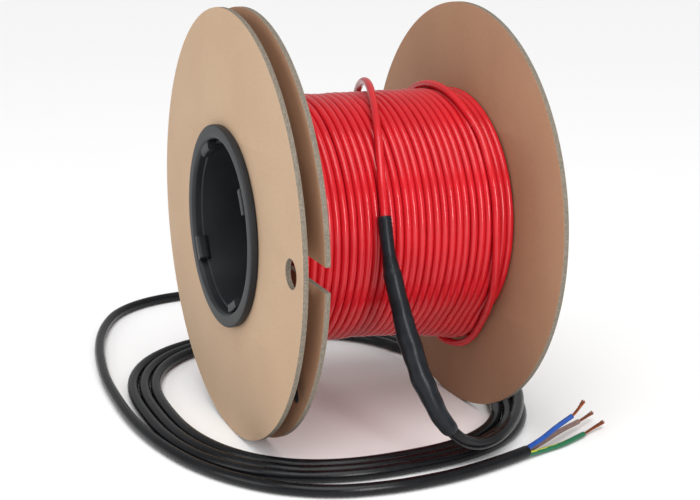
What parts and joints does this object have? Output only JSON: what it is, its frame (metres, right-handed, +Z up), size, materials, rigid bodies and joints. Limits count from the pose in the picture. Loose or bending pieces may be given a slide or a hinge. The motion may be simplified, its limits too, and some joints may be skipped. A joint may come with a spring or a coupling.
{
  "type": "underfloor heating cable",
  "caption": "Red heating cable wound on a board reel, with its joint and black cold lead laid in a coil around the reel's foot.",
  "frame": {"origin": "on the floor, under the middle of the reel, measured without the cords", "axes": "+X along the reel's axis towards the single far disc, -Y towards the side where the joint hangs, +Z up"},
  "size_m": [0.2642, 0.4132, 0.25],
  "materials": {
    "board": "uncoated solid board, grey at the cut edge",
    "hub_plastic": "moulded, satin",
    "red_sheath": "smooth extruded sheath",
    "heat_shrink": "shrunk tubing, satin",
    "black_sheath": "smooth extruded sheath",
    "blue_core": "smooth insulation",
    "brown_core": "smooth insulation",
    "green_core": "smooth insulation with a yellow stripe",
    "copper": "bare stranded copper"
  },
  "bodies": {
    "root": {"outer_disc": "board", "inner_disc": "board", "far_disc": "board", "spacer_ring": "board", "hub_sleeve": "hub_plastic", "hub_core": "hub_plastic", "cable_winding": "red_sheath", "cable_inner_end": "red_sheath", "end_seal": "heat_shrink", "cable_tail": "red_sheath", "joint_sleeve": "heat_shrink", "cold_lead_drop": "black_sheath", "cold_lead_coil": "black_sheath", "cold_lead_end": "black_sheath", "core_blue": "blue_core", "core_brown": "brown_core", "core_green": "green_core", "strands_blue": "copper", "strands_brown": "copper", "strands_green": "copper"}
  },
  "joints": []
}
